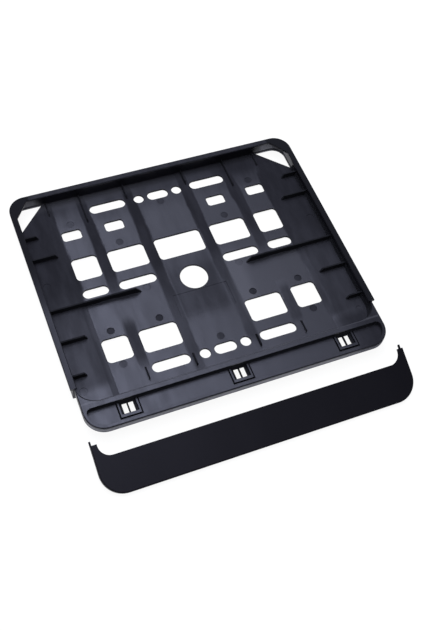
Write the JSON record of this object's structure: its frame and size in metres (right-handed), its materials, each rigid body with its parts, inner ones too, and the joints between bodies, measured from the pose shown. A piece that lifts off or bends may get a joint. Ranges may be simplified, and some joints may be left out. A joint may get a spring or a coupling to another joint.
{
  "type": "number plate holder",
  "caption": "Moulded number plate holder: stepped, ribbed tray with screw slots and an undercut rim, and the clip strip for its lower edge, taken off.",
  "frame": {"origin": "middle of the four long screw slots, on the tray's back plane", "axes": "+Z out of the back plane towards the plate, +Y to the holder's top edge, +X to the right as the plate is read"},
  "size_m": [0.196, 0.2083, 0.0139],
  "materials": {
    "tray_plastic": "satin",
    "strip_plastic": "fine matte grain"
  },
  "bodies": {
    "root": {"plate_tray": "tray_plastic", "clip_strip": "strip_plastic"}
  },
  "joints": []
}
